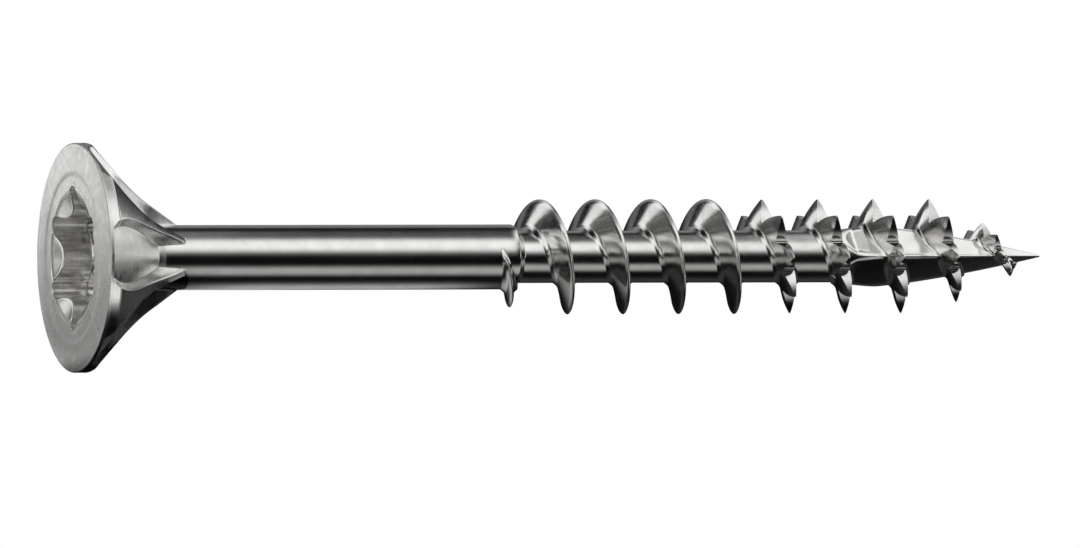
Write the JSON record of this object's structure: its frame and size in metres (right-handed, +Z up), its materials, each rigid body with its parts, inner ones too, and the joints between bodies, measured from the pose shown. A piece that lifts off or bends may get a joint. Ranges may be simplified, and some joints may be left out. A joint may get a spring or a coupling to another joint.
{
  "type": "wood screw",
  "caption": "Countersunk wood screw with a lobed drive recess, ribs under the head, a plain shank, a part thread with serrated front turns and a square point.",
  "frame": {"origin": "centre of the head's flat face, at the mouth of the drive recess", "axes": "+X along the screw's axis, from the head to the tip; +Z up, through a lobe of the recess and a rib"},
  "size_m": [0.04, 0.009, 0.009],
  "materials": {
    "headed_steel": "satin, cold-headed stainless steel",
    "drawn_steel": "bright, drawn stainless steel",
    "rolled_steel": "bright, thread-rolled stainless steel"
  },
  "bodies": {
    "root": {"head": "headed_steel", "milling_ribs": "headed_steel", "shank": "drawn_steel", "thread_core": "rolled_steel", "plain_thread": "rolled_steel", "serrated_thread": "rolled_steel", "point": "rolled_steel", "point_thread": "rolled_steel"}
  },
  "joints": []
}
